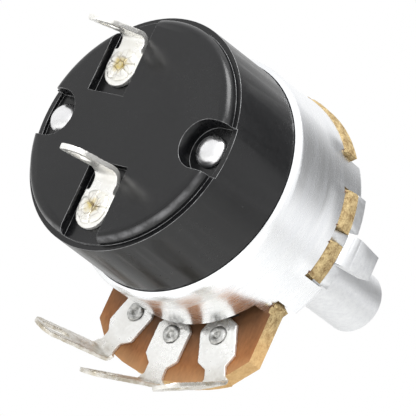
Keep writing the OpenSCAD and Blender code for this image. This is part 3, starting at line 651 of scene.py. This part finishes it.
def flared_can():
    """The can's skin, pressed outward where its rim seats on the wafer, but not at the tabs."""
    flare, flare_start, flare_full = 0.2 * MM, 6.2 * MM, 4.0 * MM
    lowest, fade, wall_from = -7.5 * MM, 2 * MM, 11 * MM
    tab_from, tab_to, tab_fade = math.radians(21.5), math.radians(37), math.radians(2.5)
    cuts, cut_step, edge = 8, 0.3 * MM, 0.07 * MM
    skin = clean_skin("can")
    for cut in range(1, cuts + 1):
        bmesh.ops.bisect_plane(skin, geom=skin.verts[:] + skin.edges[:] + skin.faces[:],
                               plane_co=(0, flare_start - cut * cut_step, 0), plane_no=(0, 1, 0))
    soften(skin, edge)
    for vert in skin.verts:
        x, y, z = vert.co
        r = math.hypot(x, z)
        turn = abs(math.atan2(z, abs(x)))
        off_tab = held(max(tab_from - turn, turn - tab_to) / tab_fade)
        down = held((flare_start - y) / (flare_start - flare_full))
        above = held((z - lowest) / fade)
        if r > wall_from:
            wider = 1 + flare * down * down * (3 - 2 * down) * off_tab * above / r
            vert.co.x *= wider
            vert.co.z *= wider
    return skin


drawn = finish("bright_drawn_steel", (0.975, 0.985, 0.995), (0.91, 0.925, 0.95), metallic=1, smooth=0.2,
               rough=0.32, broad=260, fine=1800, bump=0.05, stretch=(0.5, 6, 0.5))
piece("drawn_can", flared_can(), [drawn], "frame", "can_steel", "can")

# Switch works: an insulating base that closes the housing, a moulded toggle on a steel pin with its
# moving contact and springs, and the strip to the common lug. All of it is inside.
dress("switch_base", laminate)
dress("switch_toggle", cream)
steel_pin = finish("ground_steel", (0.80, 0.80, 0.81), (0.66, 0.66, 0.67), metallic=1, smooth=0.2,
                   rough=0.35)
dress("toggle_pin", steel_pin)
for name in ("moving_contact", "contact_spring", "detent_spring", "common_strip"):
    dress(name, bronze)

# Switch housing: black phenolic moulding whose raised back face has two lug channels and two rivet
# recesses. It is satin, with flow marks and a few fine scratches. Its rounded edges are painted pale as
# a highlight, and its rim carries a painted highlight, most of all along its lower part.


def scratch(tree, pale, turn):
    """Adds sparse fine scratches in one direction to a material."""
    where = tree.nodes["where"].outputs["Object"]
    drawn_out = add_node(tree, "ShaderNodeMapping", {"Vector": where, "Scale": (0.06, 0.3, 1),
                                                     "Rotation": turn})
    streak = add_node(tree, "ShaderNodeTexNoise", {"Vector": drawn_out.outputs["Vector"], "Scale": 4000,
                                                   "Detail": 1})
    tint(tree, ramp(tree, streak.outputs["Fac"], 0.77, 0.86), pale)


def paint_rim_highlight(tree, pale):
    """Paints a patchy pale highlight on the raised face's rim, most of all on its lower left."""
    back, lower_left = (0, 1, 0), (-0.34, 0, -0.94)
    where = tree.nodes["where"].outputs["Object"]
    blot = add_node(tree, "ShaderNodeTexNoise", {"Vector": where, "Scale": 1100, "Detail": 4})
    patchy = ramp(tree, blot.outputs["Fac"], 0.35, 0.6, 0.25)
    share = maths(tree, "MULTIPLY", patchy, ramp(tree, reach_from_axis(tree), 10.25 * MM, 10.6 * MM))
    for side, start, full, least in ((back, 19.5 * MM, 19.9 * MM, 0.0), (lower_left, 5 * MM, 9 * MM, 0.1)):
        toward = add_node(tree, "ShaderNodeVectorMath", {0: where, 1: side}, operation="DOT_PRODUCT")
        share = maths(tree, "MULTIPLY", share, ramp(tree, toward.outputs["Value"], start, full, least))
    tint(tree, share, pale)


def moulded_skin():
    """The housing's skin; the raised face's rim is well rounded, every other edge slightly."""
    face_from, rim_from = 20.05 * MM, 10.3 * MM
    rim_round, edge_round = 0.42 * MM, 0.19 * MM
    skin = clean_skin("switch_housing")
    rim = [edge for edge in sharp_edges(skin)
           if all(vert.co.y > face_from and math.hypot(vert.co.x, vert.co.z) > rim_from
                  for vert in edge.verts)]
    # The rounded faces take the second material, which paints their highlight.
    bevel(skin, rim, rim_round, 4, 1)
    return soften(skin, edge_round, 3, 1)


scratch_grey = (0.045, 0.045, 0.045)
scratch_turn = (0.3, 0.5, 0.9)
rim_highlight_grey = (0.24, 0.24, 0.25)
black = finish("black_phenolic", (0.003, 0.0032, 0.0038), (0.0065, 0.0067, 0.0075), smooth=0.16,
               rough=0.3, broad=120, fine=2400, bump=0.12, shine=0.45)
scratch(black.node_tree, scratch_grey, scratch_turn)
# Painted highlight: the rim is paled in patches where a lamp's highlight would lie.
paint_rim_highlight(black.node_tree, rim_highlight_grey)
# Painted highlight: every rounded edge takes a patchy pale grey, in place of the edges' highlights.
edge_highlight_black = finish("edge_highlight_phenolic", (0.40, 0.402, 0.41), (0.012, 0.012, 0.013), smooth=0.22,
                      rough=0.42, broad=600, fine=4000, bump=0.4, shine=0.8)
piece("moulded_housing", moulded_skin(), [black, edge_highlight_black], "frame", "black_moulding",
      "switch_housing")

# Switch lugs: two tinned brass lugs laid in the channels, each with a round end under its rivet, a
# shoulder, a neck and an upright with an oblong eye.
lug_tin = finish("thick_tin", (0.99, 0.985, 0.96), (0.90, 0.885, 0.84), metallic=0.75, smooth=0.22,
                 rough=0.42, broad=500, fine=3000, bump=0.3, depth=0.03 * MM)
for side in ("upper", "lower"):
    node = "switch_lug_" + side
    coated = tinned_skin(node, grid=0.07, lump=0.04)
    piece("tinned_" + node, coated, [lug_tin], "frame", "tinned_brass", node)

# Contact rivets: one holds each switch lug. The press splits its rear end into a flat star of petals on
# the lug, which is tinned and stained by flux; its inner head is a contact.
LUG_BACK = 19.7 * MM
UPPER_SEAT = 17.4 * MM
LOWER_SEAT = UPPER_SEAT - 0.3 * MM
UPPER_AT = (4.1 * MM, 5.6 * MM)
LOWER_AT = (-0.15 * MM, -7.5 * MM)
STAR_REACH = 1.56 * MM
STAR_TIP = 0.02 * MM


def petal_point(r, rise, around, turn):
    """Reach and height at one place of a star, which is cut and sunk where it splits."""
    petals, sharpness = 7, 40
    wave = around + 0.25 * math.sin(2 * around + turn)
    split = abs(math.cos(petals * (wave + turn) / 2)) ** sharpness
    out = r / STAR_REACH
    rough = noise.noise(Vector((math.cos(around), math.sin(around), out + turn)) * 2.3)
    reach = r * (1 - 0.12 * split + 0.09 * rough) if r > STAR_TIP else r
    return reach, rise * (1 - 0.75 * split * min(1, out * 1.6)) * (1 + 0.35 * rough)


def star_rivet(skin, centre, inner_seat, turn):
    """One rivet: inner contact head, shank and a flattened star of petals."""
    columns = 120
    shank, inner, inner_rise, inner_edge = 0.75 * MM, 1.15 * MM, 0.4 * MM, 0.1 * MM
    profile = [(STAR_TIP, inner_seat - inner_rise), (inner - inner_edge, inner_seat - inner_rise),
               (inner, inner_seat - inner_rise + inner_edge), (inner, inner_seat), (shank, inner_seat),
               (shank, LUG_BACK)]
    star = [(STAR_REACH * share, rise * MM) for share, rise in (
        (1, 0.02), (1, 0.1), (0.93, 0.2), (0.78, 0.27), (0.6, 0.28), (0.45, 0.25), (0.3, 0.18),
        (0.15, 0.12))]
    loops = [[skin.verts.new(point) for point in circle(r, y, columns, centre)] for r, y in profile]
    for r, rise in star + [(STAR_TIP, 0.1 * MM)]:
        loop = []
        for n in range(columns):
            around = math.tau * n / columns
            reach, height = petal_point(r, rise, around, turn)
            loop.append(skin.verts.new((centre[0] + reach * math.cos(around), LUG_BACK + height,
                                        centre[1] + reach * math.sin(around))))
        loops.append(loop)
    for low, high in zip(loops, loops[1:]):
        join_loops(skin, low, high)
    skin.faces.new(loops[0])
    skin.faces.new(loops[-1])


def flux_stain(tree, centres, colour, crack):
    """Leaves yellow flux in the middle of each rivet, with fine brown cracks."""
    where = tree.nodes["where"].outputs["Object"]
    masks = []
    for x, z in centres:
        moved = add_node(tree, "ShaderNodeMapping", {"Vector": where, "Location": (-x, -LUG_BACK, -z)})
        reach = add_node(tree, "ShaderNodeVectorMath", {0: moved.outputs["Vector"]}, operation="LENGTH")
        masks.append(ramp(tree, reach.outputs["Value"], 0.2 * MM, 1.5 * MM, 1.0, 0.0))
    middle = maths(tree, "MAXIMUM", *masks)
    blot = add_node(tree, "ShaderNodeTexNoise", {"Vector": where, "Scale": 1600, "Detail": 3})
    tint(tree, ramp(tree, maths(tree, "MULTIPLY", middle, blot.outputs["Fac"]), 0.2, 0.5), colour)
    cells = add_node(tree, "ShaderNodeTexVoronoi", {"Vector": where, "Scale": 1300},
                     feature="DISTANCE_TO_EDGE")
    line = ramp(tree, cells.outputs["Distance"], 0.0, 0.085, 1.0, 0.0)
    tint(tree, maths(tree, "MULTIPLY", line, middle), crack)


stars = bmesh.new()
star_rivet(stars, UPPER_AT, UPPER_SEAT, 0.6)
star_rivet(stars, LOWER_AT, LOWER_SEAT, 2.1)
yellow_flux = (0.66, 0.53, 0.20)
brown_crack = (0.13, 0.075, 0.03)
fluxed = finish("fluxed_tin", (0.98, 0.975, 0.94), (0.88, 0.86, 0.80), metallic=0.85, smooth=0.25,
                rough=0.45, broad=700, fine=3500, bump=0.5, depth=0.04 * MM)
flux_stain(fluxed.node_tree, (UPPER_AT, LOWER_AT), yellow_flux, brown_crack)
piece("star_rivets", stars, [fluxed], "frame", "contact_rivet_metal", "contact_rivets")

# Housing rivets: two long steel rivets through the housing and its base, with polished domed heads
# that the rivet set has left faintly dented.
RECESS_FLOOR = 18.4 * MM
BASE_FRONT = 8.9 * MM
RIVET_ORBIT = 9 * MM


def domed_profile():
    """Half section of a long rivet: small front head, shank and domed rear head."""
    shank, head, rise, edge, dome_steps = 0.8 * MM, 1.5 * MM, 1.0 * MM, 0.1 * MM, 12
    front_head, front_rise, under = 1.3 * MM, 0.3 * MM, 0.08 * MM
    profile = [(0, BASE_FRONT - front_rise), (front_head - edge, BASE_FRONT - front_rise),
               (front_head, BASE_FRONT - front_rise + edge), (front_head, BASE_FRONT),
               (shank, BASE_FRONT), (shank, RECESS_FLOOR), (head - under, RECESS_FLOOR),
               (head, RECESS_FLOOR + edge)]
    for n in range(1, dome_steps):
        turn = math.pi / 2 * n / dome_steps
        profile.append((head * math.cos(turn), RECESS_FLOOR + edge + (rise - edge) * math.sin(turn)))
    return profile + [(0, RECESS_FLOOR + rise)]


bright = finish("polished_steel", (0.95, 0.95, 0.96), (0.84, 0.84, 0.85), metallic=1, smooth=0.2,
                rough=0.4, broad=900, fine=4000, bump=0.15)
set_rivets("domed_rivets", lathe("dome", domed_profile(), 72), "bright_rivet", "housing_rivets",
           Count=2, Orbit=RIVET_ORBIT, Pitch=math.pi, First=0.0, Dent=0.03 * MM, Dent_Size=500, Metal=bright)
